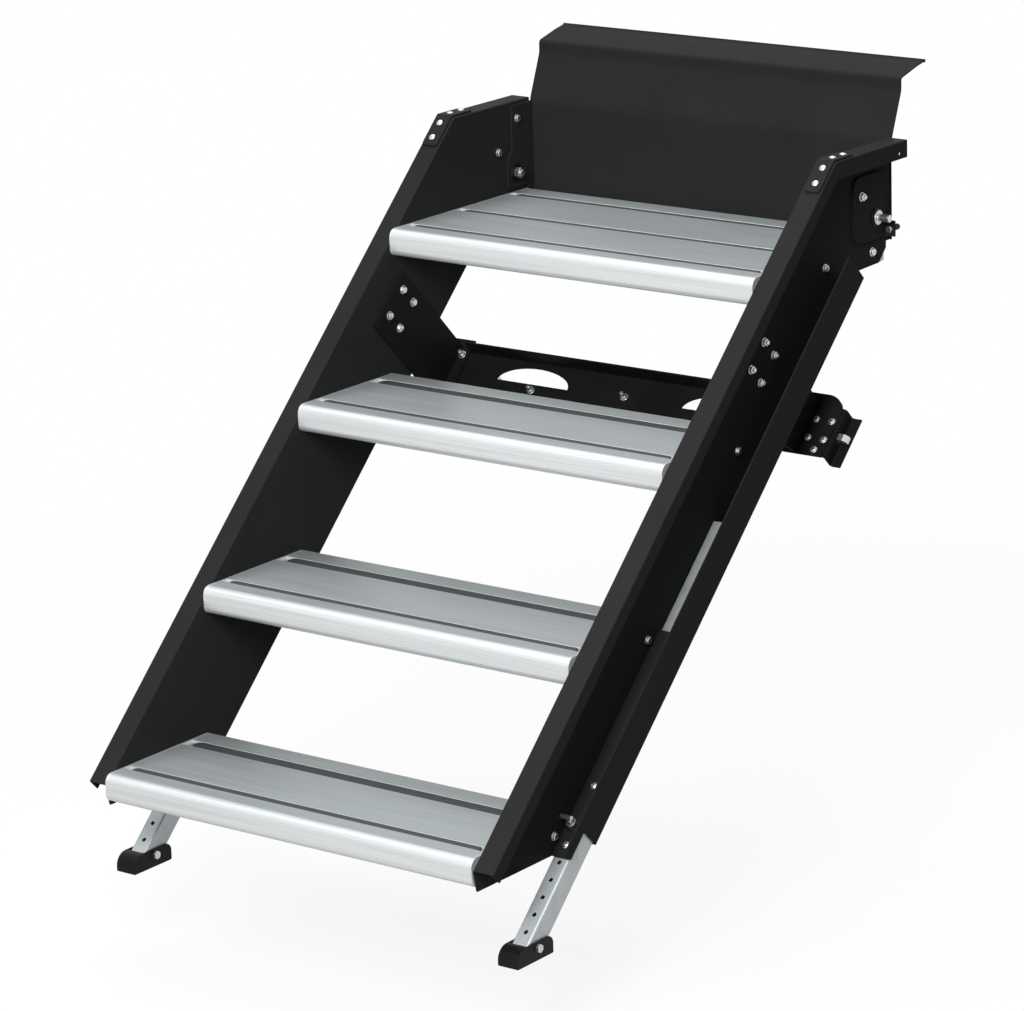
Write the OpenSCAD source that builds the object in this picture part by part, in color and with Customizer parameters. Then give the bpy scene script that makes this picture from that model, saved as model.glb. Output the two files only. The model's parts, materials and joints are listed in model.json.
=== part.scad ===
// Caravan entry step: four treads between two stringers, swinging up about a pin line at the door sill.
// Millimetres, Z up, X across, Y toward the vehicle. The origin is the middle of the hinge line.

/* [Stair] */
// Height from one tread to the next
rise = 203.2; // [180:0.1:225]
// Distance from one nose to the next
run = 211.8; // [195:0.1:240]
// Hinge line above the top tread
pivot_up = 28; // [24:0.5:40]
// Hinge line behind the top nose
pivot_back = 290; // [280:0.5:296]

/* [Treads] */
// Length of a tread extrusion
tread_len = 597; // [450:1:800]
// Depth of the three lower treads
tread_depth = 209; // [200:0.5:215]
// Depth of the top tread
top_depth = 318.6; // [310:0.1:322]
// Height of a tread section
tread_t = 38.1; // [34:0.1:44]
// Skin of the hollow tread
tread_wall = 2.6; // [2:0.1:4]
// Upper nose radius
nose_top_r = 12; // [6:0.5:14]
// Lower nose radius
nose_low_r = 10; // [5:0.5:14]
// Depth of the grip grooves
groove_depth = 4; // [2.5:0.1:5]
// Distance from a grip strip's end to the tread's end
strip_end = 12; // [8:0.5:30]
// Thickness of a grip strip
strip_t = 3.4; // [2.4:0.1:3.8]
// Grooves of the top tread behind its nose: front, middle, rear, and their width
top_groove_a = 40; // [36:0.5:44]
top_groove_b = 154; // [148:0.5:160]
top_groove_c = 275; // [268:0.5:282]
top_groove_w = 12; // [8:0.5:16]
// Grooves of a lower tread behind its nose and their widths
low_groove_a = 40; // [36:0.5:44]
low_groove_a_w = 13; // [8:0.5:16]
low_groove_b = 162; // [155:0.5:168]
low_groove_b_w = 21; // [14:0.5:24]
// Gap beside a grip strip
strip_gap = 0.3; // [0.1:0.05:0.6]
// End cap thickness
cap_t = 3.5; // [2.5:0.5:8]
// Tread bolts below the tread's top
bolt_down = 19.5; // [17:0.5:21]
// Front tread bolt behind the nose
bolt_front = 40; // [36:0.5:60]
// Rear tread bolt behind the nose
bolt_rear = 169; // [160:0.5:170]
// Third bolt of the top tread behind its nose
bolt_third = 285; // [270:0.5:290]

/* [Stringers] */
// Sheet thickness
sheet_t = 2.5; // [2:0.1:3]
// Middle radius of the sheet bends
bend_r = 4; // [2.5:0.5:6]
// Width over the flanges
flange_w = 31.5; // [31:0.1:34]
// Front flange behind the line of noses
front_set = 13.2; // [12:0.1:15]
// Depth of the stringer, front flange to rear flange
web_depth = 168.8; // [167:0.1:173]
// Front lip
front_lip = 20; // [12:0.5:24]
// Rear lip that closes the leg channel
rear_lip = 51.5; // [50:0.5:60]
// Top flange above the top tread
side_up = 130; // [120:1:150]
// Top flange lip
top_lip = 24; // [15:0.5:30]
// Rear edge of the stringer head behind the top nose
side_back = 330; // [326:0.5:332]

/* [Pivot] */
// Hinge stud radius
stud_r = 5; // [4.5:0.25:7]
// Free length of the stud for the door frame
stud_free = 17.5; // [12:0.5:25]
// Running gap round the stud
stud_fit = 0.1; // [0.05:0.05:0.2]
// Bush radius
bush_r = 8; // [7.5:0.25:10]
// Bush flange thickness
bush_flange = 1.8; // [1.2:0.1:2.2]
// Side gap at the hinge
side_gap = 0.3; // [0.2:0.05:0.6]
// Reinforcing plate thickness
doubler_t = 4; // [3:0.5:5]

/* [Kick plate] */
// Kick plate sheet
kick_t = 2; // [1.5:0.1:2.5]
// Front face of the kick plate behind the top tread
kick_back = 15.4; // [14.4:0.1:19.4]
// Top of the kick plate's upright face
kick_top = 206; // [200:1:230]
// Forward step of the upper face
kick_jog = 26; // [15:1:35]
// Lower edge of the kick plate below the top tread
kick_drop = 12; // [8:0.5:20]
// Kick plate's ends past the inner faces of the stringers
kick_past = 2.5; // [0:0.5:6]
// Depth of the sill strip
sill_depth = 60; // [40:1:75]

/* [Grab beam] */
// Beam face behind the line of noses
beam_set = 253; // [250:0.5:258]
// Upper edge of the beam down the slope
beam_high = 31; // [28:0.5:36]
// Lower edge of the beam down the slope
beam_low = 108; // [104:0.5:112]
// Half length of the beam face
beam_half = 348; // [346:0.5:352]
// Hand hole width
hand_w = 123; // [100:1:130]
// Hand hole height
hand_h = 26; // [22:0.5:26]
// Hand hole centre from the middle
hand_x = 158; // [150:1:160]
// Latch bar side
latch_side = 10; // [8:0.5:11]
// Gap round the latch bar
latch_fit = 0.4; // [0.2:0.05:0.8]

/* [Legs] */
// Leg width
leg_w = 25.4; // [23:0.1:25.8]
// Leg depth
leg_d = 31.8; // [30:0.1:32.2]
// Leg wall
leg_wall = 2; // [1.5:0.1:3]
// Hole spacing of the legs
hole_pitch = 25.4; // [20:0.1:30]
// Hole radius
hole_r = 3; // [2.9:0.05:3.5]
// Lock pin radius
lock_r = 2.5; // [2:0.05:2.7]
// Gap round the lock pin
lock_fit = 0.15; // [0.1:0.05:0.3]
// Leg guide, from its upper end to the bottom nose and from its lower end to the bottom nose
guide_up = 426; // [400:1:450]
guide_low = 87.6; // [80:0.1:95]
// Guide screws above the bottom nose
screw_up = 192.6; // [180:0.1:205]
screw_low = 105.6; // [100:0.1:112]
// Lock pin above the bottom nose
lock_up = 132.6; // [122:0.1:145]
// Upper end of the leg above the foot pin
leg_up = 627; // [560:1:640]
// Foot pin past the bottom nose
foot_past = 30.8; // [29:0.1:34]

/* [Feet] */
// Foot length
foot_len = 76; // [70:1:90]
// Foot width
foot_w = 31; // [30:0.5:34]
// Foot height
foot_h = 25; // [23:0.5:28]
// Foot sole below its pin
sole_drop = 16.8; // [16:0.1:18]
// Sole thickness
sole_t = 4.5; // [3.5:0.1:5]
// Gap between the foot's front wall and the leg
foot_gap = 4.6; // [4.4:0.1:6]
// Radius of the foot's front
foot_nose_r = 18; // [8:0.5:18]
// Foot pin radius
foot_pin_r = 3; // [2.5:0.25:4]
// Gap round the foot pin
foot_fit = 0.15; // [0.1:0.05:0.3]

/* [Hidden] */
$fn = 48;
arc_steps = 6;
slope = atan(rise / run);
cs = cos(slope);
sn = sin(slope);
last = 3;
nose_u = last * norm([rise, run]);
half_in = tread_len / 2 + cap_t;
web_out = half_in + sheet_t;
flange_out = half_in + flange_w;
lip_in = flange_out - sheet_t;
rear_set = front_set + web_depth;
web_low = -last * rise - 44.4;
flange_end = nose_u + 9.4;
channel_end = nose_u - 129.6;
toe_w = front_set + 24.6;
split_w = rear_set - 35;
head_low = -40;
flange_x = lip_in - 11.7;
fold_c = 1;
bolt_r = 3;
bolt_gap = 0.15;
hex_r = 5.8;
hex_h = 4.5;
plate_t = 3;
pivot = [pivot_back, pivot_up];
upper_bolt = [pivot_back - 36, pivot_up + 34.5];
kick_bolt = [pivot_back + 6, pivot_up + 77];
doubler_out = web_out + doubler_t;
collar_x = doubler_out + bush_flange + side_gap;
collar_t = 2.7;
collar_r = 10;
stud_end = collar_x + collar_t + stud_free;
kick_in = half_in - sheet_t;
kick_face = top_depth + kick_back;
nut_x = kick_in - bush_flange - side_gap;
nut_h = 8;
nut_r = 8;
tab_t = 3;
tab_back = pivot_back + 25;
bumper_x = doubler_out + 8.3;
bumper_up = pivot_up - 19.5;
bumper_r = 4.3;
bumper_len = 18;
bumper_stud_r = 2.5;
beam_in = half_in - 21.5;
bracket_t = 3;
bracket_web = [[46, 80], [90, 80], [46, 111], [90, 111]];
bracket_beam = [[312, 55], [336.5, 55], [312, 84], [336.5, 84], [329, 101], [half_in - 9, 40]];
beam_only = [[154, 78]];
beam_rear = beam_set + sheet_t;
tab_reach = 22;
tab_out = 14;
latch_u = 69.5;
latch_w = beam_rear + 10.5;
latch_in = 224;
latch_out = beam_half + 14;
latch_travel = 12;
guide_x0 = 262;
guide_x1 = 286;
guide_wall = 4.2;
leg_x = lip_in - 0.5 - leg_w / 2;
leg_rear = rear_set - sheet_t - 0.8;
leg_front = leg_rear - leg_d;
guide_rear = leg_front - 0.7;
guide_front = guide_rear - sheet_t;
guide_top = nose_u - guide_up;
guide_end = nose_u - guide_low;
guide_screws = [nose_u - screw_up, nose_u - screw_low];
lock_u = nose_u - lock_up;
lock_barrel_r = 7;
lock_barrel_h = 12.5;
lock_travel = 8;
holes_up = 8;
holes_down = 6;
foot_u = nose_u + foot_past;
foot_w_mid = leg_front + leg_d / 2;
leg_top = foot_u - leg_up;

// Points and outlines

function unit(v) = v / norm(v);
function left_of(d) = [-d[1], d[0]];
function turned(v, a) = [v[0] * cos(a) - v[1] * sin(a), v[0] * sin(a) + v[1] * cos(a)];
function turn_between(a, b) = atan2(a[0] * b[1] - a[1] * b[0], a * b);
// Points of a rounded corner with the left-hand normal at each
function corner(p0, p1, p2, r) =
    let (d0 = unit(p1 - p0), turn = turn_between(d0, unit(p2 - p1)), side = sign(turn))
    let (start = p1 - d0 * r * tan(abs(turn) / 2), centre = start + left_of(d0) * side * r)
    [for (k = [0:arc_steps]) let (n = turned(left_of(d0), turn * k / arc_steps)) [centre - n * side * r, n]];
// Closed outline with each corner rounded by its own radius
function rounded(pts, radii) = let (n = len(pts))
    [for (i = [0:n - 1]) each radii[i] <= 0 ? [pts[i]]
        : [for (q = corner(pts[(i + n - 1) % n], pts[i], pts[(i + 1) % n], radii[i])) q[0]]];
function square_of(y0, y1, z0, z1) = [[y0, z0], [y1, z0], [y1, z1], [y0, z1]];
function even(r) = [r, r, r, r];
// Frames along a sheet's middle line, bent at each inner point
function frames(path, radii) = let (n = len(path)) concat(
    [[path[0], left_of(unit(path[1] - path[0]))]],
    [for (i = [1:n - 2]) each corner(path[i - 1], path[i], path[i + 1], radii[i - 1])],
    [[path[n - 1], left_of(unit(path[n - 1] - path[n - 2]))]]);
function outline_of(f, t) = concat([for (q = f) q[0] + q[1] * t / 2],
    [for (i = [len(f) - 1:-1:0]) f[i][0] - f[i][1] * t / 2]);
// A point of the slope, u down the line of noses and w square to it, as Y and Z
function yz(u, w) = [-u * cs + w * sn, -u * sn - w * cs];
// Distance down the slope at which depth w reaches height z
function u_at(z, w) = (-z - w * cs) / sn;
// Y at which depth w reaches height z
function y_at(z, w) = (w + z * cs) / sn;
function tread_at(k) = [-k * run, -k * rise];
function backs(k) = k == 0 ? [bolt_front, bolt_rear, bolt_third] : [bolt_front, bolt_rear];
function tread_holes(k) = [for (b = backs(k)) tread_at(k) + [b, -bolt_down]];
function depth_of(k) = k == 0 ? top_depth : tread_depth;
function grooves(k) = k == 0
    ? [for (y = [top_groove_a, top_groove_b, top_groove_c]) [y, top_groove_w]]
    : [[low_groove_a, low_groove_a_w], [low_groove_b, low_groove_b_w]];
// Points at height z, depth d behind the front face or before the rear face of a stringer
function front_line(d, z) = yz(u_at(z, front_set + d), front_set + d);
function rear_line(d, z) = yz(u_at(z, rear_set - d), rear_set - d);
// Bands along the folded edges, front and top together, and rear
function front_band(d, top_d) = [front_line(0, web_low), front_line(0, side_up), [side_back, side_up],
    [side_back, side_up - top_d], front_line(d, side_up - top_d), front_line(d, web_low)];
function rear_band(d) = [rear_line(0, head_low), rear_line(0, web_low), rear_line(d, web_low), rear_line(d, head_low)];

// Placing

module from_nose() { translate([0, -pivot_back, -pivot_up]) children(); }
module on_slope() { from_nose() rotate([180 + slope, 0, 0]) children(); }
module left() { mirror([1, 0, 0]) children(); }
module both() { children(); left() children(); }
// A flat outline given in Y and Z, from x0 with thickness t along X
module across(x0, t) { translate([x0, 0, 0]) rotate([90, 0, 90]) linear_extrude(t) children(); }
// A section given in X and the third axis, swept along the second axis
module along(a, b) { translate([0, b, 0]) rotate([90, 0, 0]) linear_extrude(b - a) children(); }
module sheet(path, radii, t = sheet_t) { polygon(outline_of(frames(path, radii), t)); }
module rod(x0, x1, p, r) { translate([x0, p[0], p[1]]) rotate([0, 90, 0]) cylinder(r = r, h = x1 - x0); }
module hex(x0, x1, p, r) {
    translate([x0, p[0], p[1]]) rotate([0, 90, 0]) cylinder(r = r, h = x1 - x0, $fn = 6);
}
module post(x, y, z0, z1, r) { translate([x, y, z0]) cylinder(r = r, h = z1 - z0); }
module nut_post(x, y, z0, z1, r) { translate([x, y, z0]) cylinder(r = r, h = z1 - z0, $fn = 6); }
module block(a, b) { translate(a) cube(b - a); }
module slot(length, width, h) {
    translate([-length / 2 + width / 2, -width / 2, 0]) cube([length - width, width, h]);
    for (s = [-1, 1]) translate([s * (length - width) / 2, 0, 0]) cylinder(r = width / 2, h = h);
}

// Colours

module black() { color([0.05, 0.05, 0.055]) children(); }
module silver() { color([0.78, 0.79, 0.8]) children(); }
module zinc() { color([0.66, 0.68, 0.7]) children(); }
module rubber() { color([0.03, 0.03, 0.03]) children(); }

// Hinge

module stud() {
    from_nose() {
        rod(nut_x - nut_h - 3, stud_end, pivot, stud_r);
        rod(collar_x, collar_x + collar_t, pivot, collar_r);
    }
}
module pivot_studs() { zinc() both() stud(); }
module pivot_nuts() {
    zinc() both() from_nose() difference() {
        hex(nut_x - nut_h, nut_x, pivot, nut_r);
        rod(nut_x - nut_h - 1, nut_x + 1, pivot, stud_r + 0.05);
    }
}
module pivot_bushes() {
    rubber() both() from_nose() difference() {
        union() {
            rod(kick_in - bush_flange, doubler_out + bush_flange, pivot, bush_r - 0.05);
            rod(kick_in - bush_flange, kick_in, pivot, 13);
            rod(doubler_out, doubler_out + bush_flange, pivot, 13);
        }
        rod(kick_in - bush_flange - 1, doubler_out + bush_flange + 1, pivot, stud_r + stud_fit);
    }
}
module pivot_plate() {
    black() from_nose() difference() {
        union() {
            across(web_out, doubler_t)
                polygon(rounded(square_of(pivot_back - 54, tab_back, pivot_up - 30, pivot_up + 62), [14, 3, 14, 14]));
            block([web_out, tab_back - tab_t, pivot_up - 30], [bumper_x + 7, tab_back, pivot_up - 8]);
        }
        rod(web_out - 1, doubler_out + 1, pivot, bush_r);
        rod(web_out - 1, doubler_out + 1, upper_bolt, bolt_r + bolt_gap);
        translate([bumper_x, tab_back + 1, bumper_up]) rotate([90, 0, 0])
            cylinder(r = bumper_stud_r + bolt_gap, h = tab_t + 2);
    }
}
module pivot_plate_left() { left() pivot_plate(); }
module pivot_plate_right() { pivot_plate(); }
module pivot_plate_bolts() {
    zinc() both() from_nose() {
        hex(half_in - hex_h, half_in, upper_bolt, hex_r);
        rod(half_in - 1, doubler_out + hex_h + 3, upper_bolt, bolt_r);
        hex(doubler_out, doubler_out + hex_h, upper_bolt, hex_r);
    }
}
module stop_bumpers() {
    rubber() both() from_nose() translate([bumper_x, tab_back, bumper_up]) rotate([-90, 0, 0])
        union() {
            cylinder(r = bumper_r, h = bumper_len - 3);
            translate([0, 0, bumper_len - 3]) cylinder(r1 = bumper_r, r2 = bumper_r - 1.6, h = 3);
        }
}
module bumper_nuts() {
    zinc() both() from_nose() translate([bumper_x, tab_back, bumper_up]) rotate([90, 0, 0])
        union() {
            cylinder(r = bumper_stud_r, h = tab_t + 1);
            translate([0, 0, tab_t]) cylinder(r = 5, h = 5, $fn = 6);
        }
}

// Stringers

module rivet_places() {
    for (d = [13, 38]) {
        on_slope() translate([flange_x, u_at(side_up, front_set) + d, front_set]) rotate([180, 0, 0]) children();
        from_nose() translate([flange_x, yz(u_at(side_up, front_set), front_set)[0] + d, side_up]) children();
    }
}
// Cuts the outer edge of a fold at X = x, with the sheet on the side s and below the third axis's face
module fold_edge(x, s, face, down) {
    far = fold_c + 1;
    polygon([[x - s * far, face + down], [x + s, face - down * far], [x + s, face + down]]);
}
module stringer() {
    top_u = u_at(side_up, front_set);
    toe = yz(flange_end, front_set);
    toe_dir = unit(front_line(toe_w - front_set, web_low) - toe);
    black() difference() {
        from_nose() {
            across(half_in, sheet_t) polygon([front_line(0, side_up), [side_back, side_up], [side_back, 20],
                [side_back - 9, 0], [side_back - 9, -20], [side_back - 27, -38], rear_line(0, head_low),
                rear_line(0, web_low), front_line(0, web_low)]);
            across(half_in, flange_w) polygon(front_band(sheet_t, sheet_t));
            across(lip_in, sheet_t) polygon(front_band(front_lip, top_lip));
            across(half_in, flange_w) polygon(rear_band(sheet_t));
            across(lip_in, sheet_t) polygon([rear_line(0, head_low), rear_line(0, web_low), rear_line(rear_lip, web_low),
                yz(u_at(head_low, rear_set), rear_set - rear_lip)]);
        }
        from_nose() across(web_out, flange_w)
            polygon([yz(flange_end - 1, front_set - 10), yz(flange_end - 1, front_set + front_lip + 10),
                yz(flange_end + 80, front_set + front_lip + 10), yz(flange_end + 80, front_set - 10)]);
        from_nose() across(web_out, flange_w)
            polygon([yz(guide_end, rear_set - rear_lip - 5), yz(guide_end, rear_set + 10),
                yz(guide_end + 150, rear_set + 10), yz(guide_end + 150, rear_set - rear_lip - 5)]);
        from_nose() across(half_in - 1, flange_w + 2) {
            polygon([toe - 20 * toe_dir, toe + 80 * toe_dir, toe + 80 * toe_dir - [90, 0], toe - 20 * toe_dir - [90, 0]]);
            polygon([yz(channel_end, split_w), yz(channel_end, rear_set + 60), yz(channel_end + 400, rear_set + 60),
                yz(channel_end + 400, split_w)]);
        }
        on_slope() {
            along(top_u - 40, flange_end + 60) {
                fold_edge(flange_out, 1, front_set, -1);
                fold_edge(half_in, -1, front_set, -1);
            }
            along(u_at(head_low, rear_set) - 60, channel_end + 60) fold_edge(flange_out, 1, rear_set, 1);
        }
        from_nose() along(yz(top_u, front_set)[0] - 40, side_back + 10) {
            fold_edge(flange_out, 1, side_up, 1);
            fold_edge(half_in, -1, side_up, 1);
        }
        from_nose() {
            rod(half_in - 1, web_out + 1, pivot, bush_r);
            rod(half_in - 1, web_out + 1, upper_bolt, bolt_r + bolt_gap);
            rod(half_in - 1, web_out + 1, kick_bolt, bolt_r + bolt_gap);
            rod(lip_in - 1, flange_out + 1, [side_back - 18.5, side_up - 16.5], 2.5);
            for (k = [0:last], p = tread_holes(k)) rod(half_in - 1, web_out + 1, p, bolt_r + bolt_gap);
        }
        on_slope() for (p = bracket_web) rod(half_in - 1, web_out + 1, p, bolt_r + bolt_gap);
        rivet_places() post(0, 0, -sheet_t - 1, 1, 2.5);
    }
}
module stringer_left() { left() stringer(); }
module stringer_right() { stringer(); }
module corner_plate() {
    off = plate_t / 2;
    top = u_at(side_up + off, front_set - off);
    bend = yz(top, front_set - off);
    black() difference() {
        from_nose() across(web_out + 1, lip_in - web_out - 1)
            sheet([yz(top + 52, front_set - off), bend, [bend[0] + 47, side_up + off]], [plate_t], plate_t);
        rivet_places() post(0, 0, -1, plate_t + 1, 2.5);
    }
}
module corner_plate_left() { left() corner_plate(); }
module corner_plate_right() { corner_plate(); }
module corner_rivets() {
    zinc() both() rivet_places() union() {
        post(0, 0, -sheet_t - 1.5, plate_t + 1, 2.4);
        post(0, 0, plate_t, plate_t + 2, 4.5);
        post(0, 0, -sheet_t - 1.5, -sheet_t, 4);
    }
}

// Treads

function tread_outline(k) = rounded(
    [for (p = square_of(0, depth_of(k), -tread_t, 0)) p + tread_at(k)], [nose_low_r, 3, 3, nose_top_r]);
function bays(k) = let (b = backs(k), n = len(b)) [for (i = [0:n])
    [i == 0 ? tread_wall : b[i - 1] + tread_wall / 2, i == n ? depth_of(k) - tread_wall : b[i] - tread_wall / 2]];
module tread(k) {
    port_r = bolt_r + tread_wall;
    silver() from_nose() difference() {
        union() {
            across(-tread_len / 2, tread_len) difference() {
                polygon(tread_outline(k));
                for (b = bays(k)) translate(tread_at(k)) polygon(rounded(
                    square_of(b[0], b[1], -tread_t + tread_wall, -groove_depth - tread_wall),
                    b[0] == tread_wall ? [nose_low_r - tread_wall, 1, 1, nose_top_r - tread_wall] : even(1)));
            }
            for (p = tread_holes(k)) rod(-tread_len / 2, tread_len / 2, p, port_r);
        }
        for (p = tread_holes(k)) rod(-tread_len / 2 - 1, tread_len / 2 + 1, p, bolt_r + bolt_gap);
        for (g = grooves(k)) translate([0, tread_at(k)[0] + g[0], tread_at(k)[1] - groove_depth])
            block([-tread_len / 2 - 1, -g[1] / 2, 0], [tread_len / 2 + 1, g[1] / 2, groove_depth + 1]);
    }
}
module tread_top() { tread(0); }
module tread_second() { tread(1); }
module tread_third() { tread(2); }
module tread_bottom() { tread(3); }
module grip_strips() {
    rubber() from_nose() for (k = [0:last], g = grooves(k))
        translate([0, tread_at(k)[0] + g[0], tread_at(k)[1] - groove_depth])
            slot(tread_len - 2 * strip_end, g[1] - 2 * strip_gap, strip_t);
}
module tread_end_caps() {
    silver() both() from_nose() for (k = [0:last]) difference() {
        across(tread_len / 2, cap_t) polygon(tread_outline(k));
        for (p = tread_holes(k)) rod(tread_len / 2 - 1, half_in + 1, p, bolt_r + bolt_gap);
    }
}
module tread_bolts() {
    zinc() both() from_nose() for (k = [0:last], p = tread_holes(k)) {
        rod(tread_len / 2 - 20, web_out + 1, p, bolt_r);
        hex(web_out, web_out + hex_h, p, hex_r);
    }
}

// Kick plate

module kick_plate() {
    y = kick_face + kick_t / 2;
    low = -kick_drop;
    black() from_nose() difference() {
        union() {
            across(-half_in - kick_past, 2 * (half_in + kick_past))
                sheet([[y, low], [y, 0.6 * kick_top], [y + kick_jog, 0.92 * kick_top], [y + kick_jog, kick_top],
                    [y + kick_jog + 0.65 * sill_depth, kick_top + 10], [y + kick_jog + sill_depth, kick_top + 14]],
                    [50, 25, 5, 20], kick_t);
            rod(-half_in - kick_past, half_in + kick_past, [y + kick_jog + sill_depth, kick_top + 14], 2.4);
            for (s = [0, 1]) mirror([s, 0, 0]) across(kick_in, sheet_t)
                polygon([[kick_face + 1, pivot_up + 97], [pivot_back - 6, pivot_up + 97], [pivot_back - 6, pivot_up + 34],
                    [pivot_back - 18, pivot_up + 17], [pivot_back - 18, pivot_up - 22], [top_depth + 2, pivot_up - 22],
                    [top_depth + 2, low], [kick_face + 1, low]]);
        }
        for (s = [0, 1]) mirror([s, 0, 0]) {
            rod(kick_in - 1, half_in + 1, pivot, bush_r);
            rod(kick_in - 1, half_in + 1, kick_bolt, bolt_r + bolt_gap);
        }
    }
}
module kick_plate_bolts() {
    zinc() both() from_nose() {
        hex(kick_in - hex_h, kick_in, kick_bolt, hex_r);
        rod(kick_in - 1, web_out + hex_h + 3, kick_bolt, bolt_r);
        hex(web_out, web_out + hex_h, kick_bolt, hex_r);
    }
}

// Grab beam and its latches

module beam_bracket() {
    face = beam_set - sheet_t;
    black() on_slope() difference() {
        union() {
            across(half_in - bracket_t, bracket_t)
                polygon([[26, 64], [120, 64], [120, 205], [108, face + 1], [26, face + 1]]);
            translate([0, 0, face]) linear_extrude(sheet_t) polygon([[half_in - 19.5, 14], [half_in + 22, 14],
                [beam_half - 4, 29], [beam_half - 4, 110], [half_in - 19.5, 110]]);
        }
        for (p = bracket_web) rod(half_in - bracket_t - 1, half_in + 1, p, bolt_r + bolt_gap);
        for (p = bracket_beam) post(p[0], p[1], face - 1, beam_set + 1, bolt_r + bolt_gap);
    }
}
module beam_bracket_left() { left() beam_bracket(); }
module beam_bracket_right() { beam_bracket(); }
module bracket_bolts() {
    zinc() both() on_slope() for (p = bracket_web) {
        hex(half_in - bracket_t - hex_h, half_in - bracket_t, p, hex_r);
        rod(half_in - bracket_t - 1, web_out + hex_h + 1, p, bolt_r);
        hex(web_out, web_out + hex_h, p, hex_r);
    }
}
module hand_hole() {
    low = 68;
    translate([hand_x, low, beam_set - 1]) linear_extrude(sheet_t + 2)
        polygon([for (k = [0:24]) [hand_w / 2 * cos(k * 7.5), -hand_h * sin(k * 7.5)]]);
}
module grab_beam() {
    mid = beam_set + sheet_t / 2;
    window = latch_side / 2 + latch_fit;
    black() on_slope() difference() {
        union() {
            across(-beam_in, 2 * beam_in)
                sheet([[beam_high + sheet_t / 2, beam_set - 27], [beam_high + sheet_t / 2, mid],
                    [beam_low - sheet_t / 2, mid], [beam_low - sheet_t / 2, beam_set - 22]], [bend_r, bend_r]);
            block([-beam_in - 20, beam_high + 7, beam_set], [beam_in + 20, beam_low - 7, beam_rear]);
            for (s = [0, 1]) mirror([s, 0, 0]) along(beam_high, beam_low)
                sheet([[beam_in, mid], [beam_half - sheet_t / 2, mid], [beam_half - sheet_t / 2, mid + tab_reach],
                    [beam_half + tab_out, mid + tab_reach]], [bend_r, bend_r]);
        }
        for (s = [0, 1]) mirror([s, 0, 0]) {
            hand_hole();
            for (p = concat(bracket_beam, beam_only)) post(p[0], p[1], beam_set - 1, beam_rear + 1, bolt_r + bolt_gap);
            block([beam_half - sheet_t - 1, latch_u - window, latch_w - window],
                [beam_half + 1, latch_u + window, latch_w + window]);
        }
        post(0, 65, beam_set - 1, beam_rear + 1, bolt_r + bolt_gap);
    }
}
module beam_bolt(p, head) {
    nut_post(p[0], p[1], head - hex_h, head, hex_r);
    post(p[0], p[1], head - 1, beam_rear + hex_h + 1, bolt_r);
    nut_post(p[0], p[1], beam_rear, beam_rear + hex_h, hex_r);
}
module beam_bolts() {
    zinc() on_slope() {
        both() for (p = bracket_beam) beam_bolt(p, beam_set - sheet_t);
        both() for (p = beam_only) beam_bolt(p, beam_set);
        beam_bolt([0, 65], beam_set);
    }
}
module latch_guides() {
    in = latch_side / 2 + latch_fit;
    out = in + guide_wall;
    black() both() on_slope() difference() {
        block([guide_x0, latch_u - out, beam_rear], [guide_x1, latch_u + out, latch_w + out]);
        block([guide_x0 - 1, latch_u - in, latch_w - in], [guide_x1 + 1, latch_u + in, latch_w + in]);
    }
}
module latch_bolt() {
    h = latch_side / 2;
    zinc() on_slope() union() {
        translate([0, latch_u + h, 0]) rotate([90, 0, 0]) linear_extrude(latch_side)
            polygon([[latch_in, latch_w - h], [latch_out - 6, latch_w - h], [latch_out, latch_w],
                [latch_out, latch_w + h], [latch_in, latch_w + h]]);
        across(latch_in, 4)
            polygon(rounded(square_of(latch_u - 12, latch_u + 12, latch_w - h, latch_w + 26), [2, 2, 8, 8]));
    }
}
module latch_bolt_left() { left() latch_bolt(); }
module latch_bolt_right() { latch_bolt(); }

// Legs and feet

module leg_guide() {
    black() on_slope() difference() {
        block([web_out, guide_top, guide_front], [lip_in, guide_end, guide_rear]);
        post(leg_x, lock_u, guide_front - 1, guide_rear + 1, lock_r + lock_fit);
        for (u = guide_screws) post(leg_x, u, guide_front - 1, guide_rear + 1, 2.5);
    }
}
module leg_guide_left() { left() leg_guide(); }
module leg_guide_right() { leg_guide(); }
module guide_screws() {
    zinc() both() on_slope() for (u = guide_screws) {
        post(leg_x, u, guide_front - 3, guide_front, 5.5);
        post(leg_x, u, guide_front - 1, guide_rear, 2.4);
    }
}
module lock_barrels() {
    zinc() both() on_slope() difference() {
        post(leg_x, lock_u, guide_front - lock_barrel_h, guide_front, lock_barrel_r);
        post(leg_x, lock_u, guide_front - lock_barrel_h - 1, guide_front + 1, lock_r + lock_fit);
    }
}
module lock_pin() {
    far = guide_front - lock_barrel_h - lock_travel - 1;
    zinc() on_slope() union() {
        post(leg_x, lock_u, far - 2, guide_rear, lock_r);
        rod(leg_x - 9, leg_x + 9, [lock_u, far - 3], 3);
    }
}
module lock_pin_left() { left() lock_pin(); }
module lock_pin_right() { lock_pin(); }
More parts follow.
